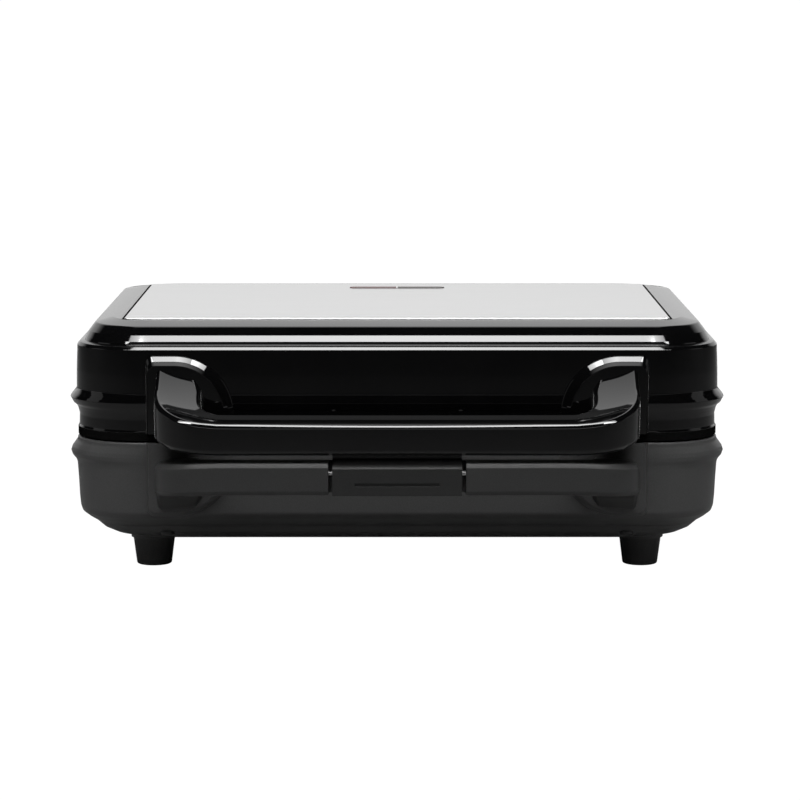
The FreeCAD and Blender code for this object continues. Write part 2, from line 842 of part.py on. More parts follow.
# Handle bosses on the case
def boss_outline(y, flare, turned):
    """The fairing round the root of the right arm, from beyond the arm to the case's edge."""
    outer = handle_half + boss_side_margin + boss_side_flare * flare
    inner = grip_half - boss_side_margin - boss_inner_flare * flare
    if turned:
        low = base_top
        top = lower_bar_low - lower_arch_rise - lower_arm_rise - boss_top_margin - boss_top_flare * flare / 2
        corners = [(outer, low), (inner, low), (inner, top), (outer, top)]
        radii = [0, 0, boss_arch_r, boss_corner_r]
    else:
        low = lid_bottom
        top = upper_bar_high + arch_rise + arm_rise + boss_top_margin + boss_top_flare * flare
        corners = [(inner, low), (outer, low), (outer, top), (inner, top)]
        radii = [0, 0, boss_corner_r, boss_arch_r]
    return bent_outline([Vector(x, y, z) for x, z in corners], radii)


def boss(turned):
    """Two fairings with a rounded shoulder from the wall to the face."""
    rows = [
        (front_y + case_wall / 2, 1.0), (front_y, 1.0), (front_y - boss_proud * 0.43, 0.78),
        (front_y - boss_proud * 0.77, 0.42), (boss_face_y, 0.0),
    ]
    right = stack([boss_outline(y, flare, turned) for y, flare in rows])
    return [right, mirrored_x(right)]


# Hinge pieces
ear_places = [
    side * (hinge_centre + offset)
    for side in (-1, 1)
    for offset in (-(hinge_span - ear_width) / 2, (hinge_span - ear_width) / 2)
]


def barrel(x_centre, width, up):
    """One hinge knuckle with the web that joins it to the back wall above or below the axis."""
    x0 = x_centre - width / 2
    round_part = rod(x0, hinge_y, parting_z, knuckle_r, width, RIGHT)
    wall_y = back_y - case_wall
    rise = knuckle_r * 2
    sign = 1 if up else -1
    edge_z = lid_bottom if up else base_top
    points = [
        (wall_y, edge_z), (hinge_y - hinge_setback / 2, edge_z), (hinge_y, parting_z),
        (hinge_y + knuckle_r, parting_z), (hinge_y + knuckle_r * 0.9, parting_z + sign * knuckle_r * 0.5),
        (wall_y, parting_z + sign * rise),
    ]
    wire = Part.makePolygon([Vector(x0, y, z) for y, z in points + points[:1]])
    web = Part.Face(wire).extrude(Vector(width, 0, 0))
    return round_part.fuse(web)


def base_ears():
    ears = [barrel(x, ear_width, False) for x in ear_places]
    bore = [rod(x - ear_width, hinge_y, parting_z, hinge_pin_r, ear_width * 2, RIGHT) for x in ear_places]
    middle = barrel(-conduit_length / 4, conduit_length / 2 - part_gap, False)
    bore.append(rod(-conduit_length, hinge_y, parting_z, conduit_r, conduit_length * 2, RIGHT))
    return ears + [middle], bore


def lid_knuckles():
    width = hinge_span - ear_width * 2 - part_gap * 2
    knuckles = [barrel(side * hinge_centre, width, True) for side in (-1, 1)]
    bore = [
        rod(side * hinge_centre - width, hinge_y, parting_z, hinge_pin_r + running_gap, width * 2, RIGHT)
        for side in (-1, 1)
    ]
    knuckles.append(barrel(conduit_length / 4, conduit_length / 2 - part_gap, True))
    bore.append(rod(-conduit_length, hinge_y, parting_z, conduit_r + running_gap, conduit_length * 2, RIGHT))
    return knuckles, bore


def hinge_pin(side):
    """A headed pin, its head against the outer ear."""
    inner_x = side * (hinge_centre - hinge_span / 2)
    pin = rod(inner_x, hinge_y, parting_z, hinge_pin_r, hinge_span, RIGHT * side)
    head_x = side * (hinge_centre + hinge_span / 2)
    head = rod(head_x, hinge_y, parting_z, hinge_pin_head_r, hinge_pin_head, RIGHT * side)
    return fuse_all([pin, head])


def wire_conduit():
    """A hollow bush on the hinge axis, through which the lid's leads pass."""
    tube = rod(-conduit_length / 2, hinge_y, parting_z, conduit_r, conduit_length, RIGHT)
    return tube.cut(rod(-conduit_length, hinge_y, parting_z, conduit_bore_r, conduit_length * 2, RIGHT))


# Panel, lenses and lamps
panel_y0 = front_y + panel_front_margin
panel_y1 = back_y - panel_back_margin
panel_top = crown_z + panel_proud
panel_low = panel_top - panel_thickness
lens_y1 = panel_y1 - lens_back_margin
lens_y0 = lens_y1 - lens_strip_depth
holder_top = crown_z - case_wall


def panel_slab(grow, z0, z1):
    return slab(panel_width / 2 + grow, panel_y0 - grow, panel_y1 + grow, panel_corner_r + grow, z0, z1)


def lens_slot(grow, z0, z1):
    radius = lens_strip_depth / 2 + grow - seam_gap / 2
    return slab(lens_strip_width / 2 + grow, lens_y0 - grow, lens_y1 + grow, radius, z0, z1)


def top_panel():
    slot = lens_slot(seam_gap, panel_low - overrun, panel_top + overrun)
    return panel_slab(0, panel_low, panel_top).cut(slot)


def lens(side):
    """Half of the lens strip, with a foot that rests on the lamp holder."""
    strip = lens_slot(0, holder_top, panel_top + lens_proud)
    x0 = lens_divider / 2
    half = box(x0, lens_strip_width, lens_y0 - overrun, lens_y1 + overrun, holder_top, panel_top + overrun)
    piece = strip.common(half)
    return piece if side > 0 else mirrored_x(piece)


def lamp_holder():
    """A tray screwed under the lid's top, with a cell for each lamp."""
    half_w = lens_strip_width / 2 + lamp_holder_wall
    y_mid = (lens_y0 + lens_y1) / 2
    y0 = y_mid - lamp_holder_depth / 2
    y1 = y_mid + lamp_holder_depth / 2
    top = holder_top
    z0 = top - lamp_holder_height
    tray = box(-half_w, half_w, y0, y1, z0, top)
    wall = lamp_holder_wall
    cells = [
        box(wall / 2, half_w - wall, y0 + wall, y1 - wall, z0 + wall, top + overrun),
        box(-half_w + wall, -wall / 2, y0 + wall, y1 - wall, z0 + wall, top + overrun),
    ]
    return tray.cut(cells)


def lamp(side):
    """A small tubular lamp with a round tip, lying on the floor of its cell."""
    y_mid = (lens_y0 + lens_y1) / 2
    z = holder_top - lamp_holder_height + lamp_holder_wall + lamp_r
    x_mid = lens_strip_width / 4
    tube = rod(x_mid - lamp_length / 2, y_mid, z, lamp_r, lamp_length, RIGHT)
    tip = Part.makeSphere(lamp_r, Vector(x_mid + lamp_length / 2, y_mid, z))
    bulb = tube.fuse(tip).removeSplitter()
    return bulb if side > 0 else mirrored_x(bulb)


# Case shells
def wall_screw_holes(z):
    """Holes for the handle screws, through the front wall and the boss."""
    length = case_wall * 2 + boss_proud * 2
    return [
        rod(x, front_y + case_wall * 2, place_z, screw_r + screw_gap, length, FRONT)
        for x, place_z in handle_screw_places(z)
    ]


def lid_shell():
    """The lid's cover: walls, crown, handle bosses, hinge knuckles and screw posts."""
    outer = lid_outer()
    cavity = lid_cavity()
    knuckles, bores = lid_knuckles()
    shell = outer.multiFuse(boss(False) + knuckles).cut(cavity)
    post_low = lid_bottom + deck_thickness
    posts = [rod(x, y, post_low, post_r, crown_z, UP).common(outer) for x, y in post_places]
    shell = shell.multiFuse(posts)
    cuts = [panel_slab(panel_gap, panel_low, crown_z + overrun)]
    cuts.append(lens_slot(lamp_holder_wall, crown_z - case_wall * 2, crown_z + overrun))
    cuts += [rod(x, y, lid_bottom, screw_r + screw_gap, case_screw_grip, UP) for x, y in post_places]
    return shell.cut(cuts + bores + wall_screw_holes(upper_screw_z)).removeSplitter()


def base_shell():
    """The base's wall and deck in one, with handle bosses, hinge ears and screw posts."""
    outer = base_outer()
    ears, bores = base_ears()
    shell = outer.multiFuse(boss(True) + ears).cut(base_cavity())
    posts = [rod(x, y, cover_top, post_r, base_top - cover_top, UP) for x, y in post_places]
    shell = shell.multiFuse(posts + [deck_ledge()]).cut(deck_opening())
    depth = case_screw_grip + overrun
    cuts = [rod(x, y, cover_top - overrun, screw_r + screw_gap, depth, UP) for x, y in post_places]
    cuts.append(rod(gland_x, back_y - case_wall * 3, gland_z(), gland_barrel_r, case_wall * 5, BACK))
    return shell.cut(cuts + bores + wall_screw_holes(lower_screw_z)).removeSplitter()


def lid_frame():
    """The ring that closes the lid from below and carries the upper plate."""
    ring_in = inner_in + seam_gap
    wire = case_outline(base_top - deck_thickness, -ring_in, -ring_in)
    ring = Part.Face(wire).extrude(Vector(0, 0, deck_thickness))
    lip_top = 2 * parting_z - base_top - lip_gap
    lip = Part.Face(case_outline(base_top, -lip_in, -lip_in)).extrude(Vector(0, 0, lip_top - base_top))
    lip_inner = case_outline(base_top, -lip_in - lip_width, -lip_in - lip_width)
    lip = lip.cut(Part.Face(lip_inner).extrude(Vector(0, 0, case_gap)))
    ring = ring.fuse([deck_ledge(), lip]).cut(deck_opening())
    cuts = []
    for x, y in post_places:
        cuts.append(rod(x, y, base_top, screw_r + screw_gap, deck_thickness * 2, DOWN))
        cuts.append(rod(x, y, base_top, screw_head_r + screw_gap, screw_head + screw_gap, DOWN))
    return mirrored_z(ring.cut(cuts).removeSplitter())


# Height above the table and inset from the case's nominal outline, as the cover's dish curves in
cover_shares = [(1.0, 1.03), (0.66, 1.4), (0.4, 1.9), (0.24, 2.5), (0.13, 3.2), (0.0, 4.4)]


def bottom_cover():
    """The dished cover, with seats for the feet and sunk seats for the housing screws."""
    wires = []
    hollow = []
    corner = case_corner_r - skirt_in
    room = box(-case_width, case_width, front_y * 2, back_y * 2, foot_height, cover_top)
    for height_share, in_share in cover_shares:
        z = foot_height + cover_height * height_share
        inset = skirt_in * in_share
        wires.append(case_outline(z, -inset, -inset, corner))
        deeper = inset + case_wall
        hollow.append(case_outline(z + case_wall, -deeper, -deeper, corner - case_wall))
    dish = stack(wires)
    seat_r = foot_top_r + foot_seat_wall
    seats = [rod(x, y, foot_height, seat_r, case_wall * 1.5, UP) for x, y in foot_places]
    post_low = foot_height + foot_seat_wall
    posts = [rod(x, y, post_low, post_r, cover_top - post_low, UP) for x, y in post_places]
    posts = [post.common(dish) for post in posts]
    cover = dish.multiFuse(seats).cut(stack(hollow).common(room)).multiFuse(posts)
    cuts = []
    for x, y in post_places:
        cuts.append(rod(x, y, foot_height, screw_r + screw_gap, cover_height * 2, UP))
        cuts.append(rod(x, y, foot_height, screw_head_r + screw_gap, screw_seat_z - foot_height, UP))
    return cover.cut(cuts).removeSplitter()


screw_seat_z = foot_height + cover_height * 0.7
foot_places = [
    (side * foot_x, y)
    for y in (front_y + foot_front_margin, back_y - foot_back_margin)
    for side in (-1, 1)
]
foot_names = ["foot_front_left", "foot_front_right", "foot_rear_left", "foot_rear_right"]


def foot(x, y):
    """A tapered rubber foot with a rounded tread edge."""
    start = Vector(0, 0, 0)
    tread = Vector(foot_base_r - foot_edge_r, 0, 0)
    bend = Vector(foot_base_r - foot_edge_r * (1 - math.sqrt(0.5)), 0, foot_edge_r * (1 - math.sqrt(0.5)))
    side = Vector(foot_base_r, 0, foot_edge_r)
    top = Vector(foot_top_r, 0, foot_height)
    axis = Vector(0, 0, foot_height)
    wire = Part.Wire([
        Part.LineSegment(start, tread).toShape(), Part.Arc(tread, bend, side).toShape(),
        Part.LineSegment(side, top).toShape(), Part.LineSegment(top, axis).toShape(),
        Part.LineSegment(axis, start).toShape(),
    ])
    solid = Part.Face(wire).revolve(Vector(0, 0, 0), UP, 360)
    solid.translate(Vector(x, y, 0))
    return solid


def housing_screws():
    grip = case_screw_grip / 2 + cover_top - screw_seat_z
    return group([screw(x, y, screw_seat_z, grip, UP) for x, y in post_places])


def lid_screws():
    seat = lid_bottom + screw_head + screw_gap
    return group([screw(x, y, seat, case_screw_grip - screw_head * 2, UP) for x, y in post_places])


def handle_screws(z):
    seat_y = front_y + inner_in
    grip = seat_y - boss_face_y + handle_screw_grip - overrun
    return group([screw(x, seat_y, place_z, grip, FRONT) for x, place_z in handle_screw_places(z)])


def build():
    parts = {
        "base_shell": base_shell(),
        "lower_handle": lower_handle(),
        "bottom_cover": bottom_cover(),
        "lower_plate": cooking_plate(),
        "lower_element": heating_element(),
        "lower_element_saddles": element_saddles(),
        "lower_reflector": lower_reflector(),
        "lower_plate_screws": plate_screws(),
        "thermostat": thermostat(),
        "thermal_fuse": thermal_fuse(),
        "terminal_block": terminal_block(),
        "cord_gland": cord_gland(),
        "housing_screws": housing_screws(),
        "base_handle_screws": handle_screws(lower_screw_z),
        "latch_pin": latch_pin(),
        "latch_spring": latch_spring(),
        "hinge_pin_left": hinge_pin(-1),
        "hinge_pin_right": hinge_pin(1),
        "wire_conduit": wire_conduit(),
        "lid_shell": lid_shell(),
        "upper_handle": upper_handle(),
        "lid_frame": lid_frame(),
        "top_panel": top_panel(),
        "lens_power": lens(-1),
        "lens_ready": lens(1),
        "lamp_holder": lamp_holder(),
        "lamp_power": lamp(-1),
        "lamp_ready": lamp(1),
        "upper_plate": mirrored_z(cooking_plate()),
        "upper_element": mirrored_z(heating_element()),
        "upper_element_saddles": mirrored_z(element_saddles()),
        "upper_reflector": upper_reflector(),
        "upper_plate_screws": mirrored_z(plate_screws()),
        "upper_thermal_fuse": mirrored_z(thermal_fuse()),
        "lid_screws": lid_screws(),
        "lid_handle_screws": handle_screws(upper_screw_z),
        "latch": latch(),
    }
    for name, (x, y) in zip(foot_names, foot_places):
        parts[name] = foot(x, y)
    return parts


os.makedirs("parts", exist_ok=True)
for name, shape in build().items():
    shape.exportStep("parts/" + name + ".step")
    bounds = shape.BoundBox
    size = "%.1f x %.1f x %.1f" % (bounds.XLength, bounds.YLength, bounds.ZLength)
    print(name, len(shape.Solids), shape.isValid(), size, "volume %.0f" % shape.Volume)
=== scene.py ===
import json
import math

import bmesh
import bpy
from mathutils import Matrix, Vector


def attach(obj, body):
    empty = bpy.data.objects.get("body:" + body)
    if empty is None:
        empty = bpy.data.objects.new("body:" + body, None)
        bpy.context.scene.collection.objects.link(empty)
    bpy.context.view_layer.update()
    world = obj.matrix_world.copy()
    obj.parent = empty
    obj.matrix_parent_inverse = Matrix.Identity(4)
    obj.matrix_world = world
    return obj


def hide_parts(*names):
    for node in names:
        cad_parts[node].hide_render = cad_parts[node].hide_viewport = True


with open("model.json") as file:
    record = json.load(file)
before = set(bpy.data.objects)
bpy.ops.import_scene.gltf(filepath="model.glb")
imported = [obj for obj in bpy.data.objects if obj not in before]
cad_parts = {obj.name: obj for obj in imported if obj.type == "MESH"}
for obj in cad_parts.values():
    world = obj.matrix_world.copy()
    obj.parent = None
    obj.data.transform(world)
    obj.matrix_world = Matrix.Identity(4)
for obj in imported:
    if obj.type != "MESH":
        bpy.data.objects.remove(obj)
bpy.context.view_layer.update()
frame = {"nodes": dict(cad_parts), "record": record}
mm = 0.001

# Case, in millimetres
case_width = 252.0
case_depth = 190.0
case_corner_r = 26.0
case_wall = 2.5
foot_height = 11.0
cover_height = 8.2
base_height = 34.0
case_gap = 3.7
lid_wall_height = 33.9
crown_height = 7.9
ridge_out = 3.0
ridge_end_out = 0.45
rim_round = 0.6
rim_width = 2.6
rim_step = 0.45
crown_side_in = 13.0
crown_end_in = 19.0
crown_corner_r = 18.0
deck_thickness = 2.5
deck_edge = 0.5
deck_edge_mid = 0.15
lid_cavity_lip = 0.4
base_cavity_share = 0.11
least_corner_r = 1.0

# Panel
panel_width = 214.8
panel_front_margin = 24.0
panel_back_margin = 25.0
panel_thickness = 1.2
panel_proud = 0.4
panel_gap = 1.0
panel_corner_r = 1.5
pocket_edge = 0.12
pocket_edge_mid = 0.3
# Painted shade: depth and clearance of the black strip that stands in for the shadow in the panel's gap
shade_strip_sink = 0.12
shade_strip_clearance = 0.1

# Handles and latch
handle_reach = 34.0
handle_width = 185.4
handle_bar_depth = 14.0
handle_arm_width = 17.2
handle_corner_r = 18.0
grip_corner_r = 9.0
handle_gap = 3.6
upper_bar_height = 12.0
lower_bar_height = 12.4
lower_bar_gap_share = 1.3
arch_run = 27.0
arch_rise = 5.8
arch_under_rise = 3.0
arm_rise = 11.7
arm_under_rise = 3.9
arm_power = 2
arm_shoulder_r = 4.0
shoulder_start_share = 0.7
lower_arch_rise = 1.7
lower_arch_top_rise = 2.0
lower_arm_rise = 9.0
lower_arm_top_rise = 1.9
lower_arm_power = 4
handle_edge_r = 2.0
handle_edge_angles = (0, 6, 13, 65, 77, 90)
handle_recess_edge = 0.35
boss_proud = 3.0
boss_side_margin = 3.5
boss_inner_margin = 8.7
boss_top_margin = 0.9
boss_side_flare = 1.0
boss_top_flare = 3.8
boss_inner_flare = 3.8
boss_corner_r = 3.0
boss_arch_r = 23.0
seam_gap = 0.15
recess_half = 26.0
recess_depth = 9.0
pocket_wall = 2.4
pocket_height = 8.4
pocket_relief = 0.5
pocket_cut_below = 1.0
recess_cut_front = 3.0
recess_cut_past = 9.0

# Hinge
hinge_setback = 6.5
knuckle_r = 5.5
knuckle_edge = 0.5
knuckle_start = 200
knuckle_sweep = 220
knuckle_steps = 16
knuckle_root_share = 0.6
hinge_span = 34.0
hinge_centre = 84.0
ear_width = 9.0
conduit_length = 36.0
part_gap = 0.3

# Plates
plate_width = 226.0
plate_depth = 146.0
plate_corner_r = 16.0
plate_thickness = 3.0
plate_gap = 0.8
plate_fit_gap = 0.5
ledge_width = 4.0
ledge_thickness = 2.5

# Places that follow
total_depth = handle_reach + case_depth + hinge_setback + knuckle_r
front_y = handle_reach - total_depth / 2
back_y = front_y + case_depth
case_mid_y = (front_y + back_y) / 2
handle_front_y = front_y - handle_reach
hinge_y = back_y + hinge_setback
cover_top = foot_height + cover_height
base_top = cover_top + base_height
lid_bottom = base_top + case_gap
crease_z = lid_bottom + lid_wall_height
crown_z = crease_z + crown_height
parting_z = base_top + case_gap / 2
half_case = case_width / 2
handle_half = handle_width / 2
grip_half = handle_half - handle_arm_width
boss_face_y = front_y - boss_proud
upper_bar_low = parting_z - handle_gap / 2 - seam_gap
upper_bar_high = upper_bar_low + upper_bar_height
lower_bar_high = parting_z - case_gap * lower_bar_gap_share
lower_bar_low = lower_bar_high - lower_bar_height
sides = ((-1, "left"), (1, "right"))

# Steps and limits of the meshes, with angles in degrees
corner_steps = 14
end_steps = 20
side_steps = 14
profile_steps = 5
base_profile_steps = 4
straight_angle = 179.5
reach_limit = 0.48
sharp_angle = 40.0
bevel_angle = 32.0
flat_angle = 0.6
flat_weight = 60
weld_distance = 1e-6

# Camera, fitted to the photograph
camera_place = (-0.00035, -1.2526, 0.2276)
camera_pitch = 7.686
camera_yaw = -0.0712
camera_focal_px = 3050.0
camera_range = 200
image_px = 800.0
sensor_mm = 36.0

# Surroundings: the backdrop's brightness by how far up a ray goes, how far back a ray has to go to meet it,
# the dark room's brightness, and the floor in metres
backdrop_levels = [(0.0, 0.85), (0.6, 0.85), (0.68, 0.05), (1.0, 0.05)]
backdrop_from = 0.6
backdrop_to = 0.75
front_level = 0.01
table_reach = 3.5
floor_half = 60.0
floor_drop = 0.0002
floor_tone = 0.34
floor_glow = 1.1
floor_glow_share = 0.92

# Share of the ridge, inset, share of the height and rounding at each point up the lid's wall
lid_profile = [
    (-0.03, 1.6, 0.0, 0), (-0.03, 0, 0.0, 0.3), (-0.2, 0, 0.03, 0.6), (-0.24, 0, 0.15, 2.0),
    (-0.07, 0, 0.21, 2.0), (0.15, 0, 0.25, 1.5), (0.6, 0, 0.28, 0.8), (1.0, 0, 0.34, 0.35),
    (0.8, 0, 0.37, 0.6), (0.36, 0, 0.415, 1.5), (0.13, 0, 0.445, 2.5), (0.1, 0, 0.66, 6),
    (-0.03, 0, 0.953, 0.5), (-0.03, 0.95, 0.987, 0.3), (0.0, 3.05, 1.0, 0.12), (0.0, 3.2, 1.0124, 0),
]
# The same up the base's wall
base_profile = [
    (0, 9.4, -0.004, 0), (0, 7.3, 0.0, 0.6), (0, 4.2, 0.055, 3), (0, 1.5, 0.115, 3), (-0.25, 0, 0.17, 3),
    (-0.11, 0, 0.3, 8), (0.0, 0, 0.5, 8), (0.15, 0, 0.69, 5), (0.4, 0, 0.735, 2), (0.83, 0, 0.775, 1),
    (1.0, 0, 0.82, 0.35), (0.83, 0, 0.865, 0.6), (0.42, 0, 0.91, 1.5), (0.05, 0, 0.945, 1.5),
    (0.05, 0, 1.0, 0.9), (0.05, 5.0, 1.0, 0),
]
# Share of the run, share of the drop and rounding at each point from the plateau out to the rim
crown_profile = [(0, 0, 0), (0.62, 0.164, 1.8), (0.856, 0.58, 0.8), (0.965, 0.885, 0.25), (1, 1, 0)]
# Distance out from the wall, share of the flare there and rounding, over a handle boss
boss_profile = [
    (-1.25, 1.0, 0), (0.05, 1.0, 0.4), (0.7, 0.915, 0.8),
    (2.25, 0.4, 1.0), (2.95, 0.02, 0.4), (3.0, -0.12, 0),
]


# Smooth outlines
def rounded_path(points, profile, steps=profile_steps):
    """An open path with a tangent arc at each inner corner, its radius last in the profile's row."""
    path = [points[0].copy()]
    for index in range(1, len(points) - 1):
        corner = points[index]
        before = points[index - 1] - corner
        after = points[index + 1] - corner
        angle = before.angle(after)
        radius = profile[index][-1]
        if radius <= 0 or angle > math.radians(straight_angle):
            path.append(corner.copy())
            continue
        shorter = min(before.length, after.length)
        reach = min(radius / math.tan(angle / 2), shorter * reach_limit)
        radius = reach * math.tan(angle / 2)
        start = corner + before.normalized() * reach
        end = corner + after.normalized() * reach
        bisector = (before.normalized() + after.normalized()).normalized()
        centre = corner + bisector * (radius / math.sin(angle / 2))
        sweep = math.pi - angle
        for step in range(steps + 1):
            before_share = math.sin(sweep * (1 - step / steps)) / math.sin(sweep)
            after_share = math.sin(sweep * step / steps) / math.sin(sweep)
            path.append(centre + (start - centre) * before_share + (end - centre) * after_share)
    path.append(points[-1].copy())
    return path


def case_ring(half_width, y0, y1, radius, z):
    """Points round a rounded rectangle, always in the same number and order."""
    ring = []
    corners = [
        (half_width - radius, y0 + radius, -90, side_steps),
        (half_width - radius, y1 - radius, 0, end_steps),
        (-half_width + radius, y1 - radius, 90, side_steps),
        (-half_width + radius, y0 + radius, 180, end_steps),
    ]
    for index, (x, y, start, run) in enumerate(corners):
        for step in range(corner_steps + 1):
            a = math.radians(start + 90 * step / corner_steps)
            ring.append(Vector((x + radius * math.cos(a), y + radius * math.sin(a), z)))
        next_x, next_y, next_start = corners[(index + 1) % 4][:3]
        a = math.radians(next_start)
        end = Vector((next_x + radius * math.cos(a), next_y + radius * math.sin(a), z))
        last = ring[-1]
        for step in range(1, run):
            ring.append(last.lerp(end, step / run))
    return ring


# Meshes
def make_mesh(name, verts, faces):
    """A mesh object in metres, with smooth shading and level flats."""
    mesh = bpy.data.meshes.new(name)
    bm = bmesh.new()
    made = [bm.verts.new(Vector(v) * mm) for v in verts]
    for face in faces:
        bm.faces.new([made[i] for i in face])
    bmesh.ops.remove_doubles(bm, verts=bm.verts, dist=weld_distance)
    bmesh.ops.recalc_face_normals(bm, faces=bm.faces)
    bm.to_mesh(mesh)
    bm.free()
    piece = bpy.data.objects.new(name, mesh)
    bpy.context.scene.collection.objects.link(piece)
    smooth(piece)
    return piece


def smooth(piece):
    for polygon in piece.data.polygons:
        polygon.use_smooth = True
    piece.data.set_sharp_from_angle(angle=math.radians(sharp_angle))
    even = piece.modifiers.new("even", "WEIGHTED_NORMAL")
    even.keep_sharp = True
    even.weight = flat_weight


def loft(name, rings, closed=False):
    """Joins rings of equal count with quads. A closed loft joins its last ring to its first, and any
    other gets a face over each end."""
    count = len(rings[0])
    verts = [point for ring in rings for point in ring]
    faces = []
    last = len(rings) if closed else len(rings) - 1
    for row in range(last):
        a = row * count
        b = ((row + 1) % len(rings)) * count
        for i in range(count):
            j = (i + 1) % count
            faces.append((a + i, a + j, b + j, b + i))
    if not closed:
        faces.append(tuple(range(count)))
        faces.append(tuple(range(last * count, (last + 1) * count)))
    return make_mesh(name, verts, faces)


def prism(name, outline, x0, x1, edge_r):
    """An outline of (y, z) points drawn out along X with small round edges."""
    verts = [(x, y, z) for x in (x0, x1) for y, z in outline]
    count = len(outline)
    faces = [tuple(range(count)), tuple(range(count, count * 2))]
    for i in range(count):
        j = (i + 1) % count
        faces.append((i, j, count + j, count + i))
    piece = make_mesh(name, verts, faces)
    round_edges(piece, edge_r)
    return piece


def add_bevel(piece, width, steps=2):
    bevel = piece.modifiers.new("edges", "BEVEL")
    bevel.width = width * mm
    bevel.segments = steps
    bevel.limit_method = "ANGLE"
    bevel.angle_limit = math.radians(bevel_angle)
    return bevel


def round_edges(piece, width):
    """A bevel on the sharp edges, put before the shading modifier."""
    add_bevel(piece, width).miter_outer = "MITER_ARC"
    piece.modifiers.move(len(piece.modifiers) - 1, 0)


def soften(node, width, steps=2):
    """Round edges and level shading on a solid of the frame."""
    piece = frame["nodes"][node]
    join = piece.modifiers.new("join", "WELD")
    join.merge_threshold = weld_distance
    flat = piece.modifiers.new("flats", "DECIMATE")
    flat.decimate_type = "DISSOLVE"
    flat.angle_limit = math.radians(flat_angle)
    add_bevel(piece, width, steps)
    even = piece.modifiers.new("even", "WEIGHTED_NORMAL")
    even.keep_sharp = True


# Case shells
def case_level(ridge_share, inset, z, radius=None):
    """One ring round the case, with a share of the ridge outward and an inset inward."""
    side = ridge_out * ridge_share - inset
    end = ridge_end_out * ridge_share - inset
    if radius is None:
        radius = case_corner_r + (side + end) / 2
    return case_ring(half_case + side, front_y - end, back_y + end, max(radius, least_corner_r), z)


def wall_rings(profile, low, height, steps):
    """Rings for a wall's profile."""
    points = [Vector((share * ridge_out, inset, low + height * up)) for share, inset, up, r in profile]
    return [case_level(p.x / ridge_out, p.y, p.z) for p in rounded_path(points, profile, steps)]


def crown_level(run, drop):
    """One ring of the crown, between its flat top and its rim."""
    rim_in = rim_round + rim_width
    rim_z = crease_z + rim_step
    side_in = crown_side_in + (rim_in - crown_side_in) * run
    end_in = crown_end_in + (rim_in - crown_end_in) * run
    corner = crown_corner_r + (case_corner_r - rim_in - crown_corner_r) * run
    z = crown_z + (rim_z - crown_z) * drop
    return case_ring(half_case - side_in, front_y + end_in, back_y - end_in, corner, z)


def crown_rings():
    width = crown_end_in - rim_round - rim_width
    height = crown_height - rim_step
    points = [Vector((run * width, 0, drop * height)) for run, drop, r in crown_profile]
    return [crown_level(p.x / width, p.z / height) for p in rounded_path(points, crown_profile)]


def panel_ring(out, z):
    """A ring round the panel, at one distance out from its edge."""
    y0 = front_y + panel_front_margin - out
    y1 = back_y - panel_back_margin + out
    return case_ring(panel_width / 2 + out, y0, y1, panel_corner_r + out, z)


def build_lid_shell():
    wall = wall_rings(lid_profile, lid_bottom, lid_wall_height, profile_steps)
    edge_mid = pocket_edge * pocket_edge_mid
    pocket = [
        panel_ring(panel_gap + pocket_edge, crown_z),
        panel_ring(panel_gap + edge_mid, crown_z - edge_mid),
        panel_ring(panel_gap, crown_z - pocket_edge),
        panel_ring(panel_gap, crown_z + panel_proud - panel_thickness),
    ]
    inner_in = rim_round + case_wall
    cavity = [
        case_level(0, crown_side_in + case_wall, crown_z - case_wall, crown_corner_r),
        case_level(0, inner_in, crease_z - case_wall),
        case_level(0, inner_in, lid_bottom + lid_cavity_lip),
    ]
    lid = loft("lid_cover", cavity + wall + crown_rings()[::-1] + pocket)
    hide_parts("lid_shell")
    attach(lid, "lid")
    return lid


def build_gap_shade_strip():
    """Painted shade: a matt black strip in the gap round the panel, standing in for the shadow there."""
    top = crown_z - shade_strip_sink
    low = crown_z + panel_proud - panel_thickness
    levels = [(panel_gap, top), (panel_gap, low), (shade_strip_clearance, low), (shade_strip_clearance, top)]
    shade_strip = loft("panel_gap_shade_strip", [panel_ring(out, z) for out, z in levels], closed=True)
    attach(shade_strip, "lid")
    return shade_strip


def plate_opening(grow, z):
    """A ring round the lower plate's opening in the deck."""
    half_w = plate_width / 2 + plate_fit_gap + grow
    half_d = plate_depth / 2 + plate_fit_gap + grow
    return case_ring(half_w, case_mid_y - half_d, case_mid_y + half_d, plate_corner_r + grow, z)


def build_base_shell():
    wall = wall_rings(base_profile, cover_top, base_height, base_profile_steps)
    ledge_top = parting_z - plate_gap / 2 - plate_thickness
    ledge_low = ledge_top - ledge_thickness
    deck_low = base_top - deck_thickness
    inner_in = rim_round + case_wall
    inside = [
        plate_opening(deck_edge, base_top),
        plate_opening(deck_edge_mid, base_top - deck_edge_mid),
        plate_opening(0, base_top - deck_edge),
        plate_opening(0, ledge_top),
        plate_opening(-ledge_width, ledge_top),
        plate_opening(-ledge_width, ledge_low),
        plate_opening(ledge_thickness, ledge_low),
        plate_opening(ledge_thickness, deck_low),
        case_level(0, inner_in, deck_low),
        case_level(0, inner_in, cover_top + base_height * base_cavity_share),
    ]
    base = loft("base_wall", wall + inside, closed=True)
    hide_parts("base_shell")
    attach(base, "base")
    return base


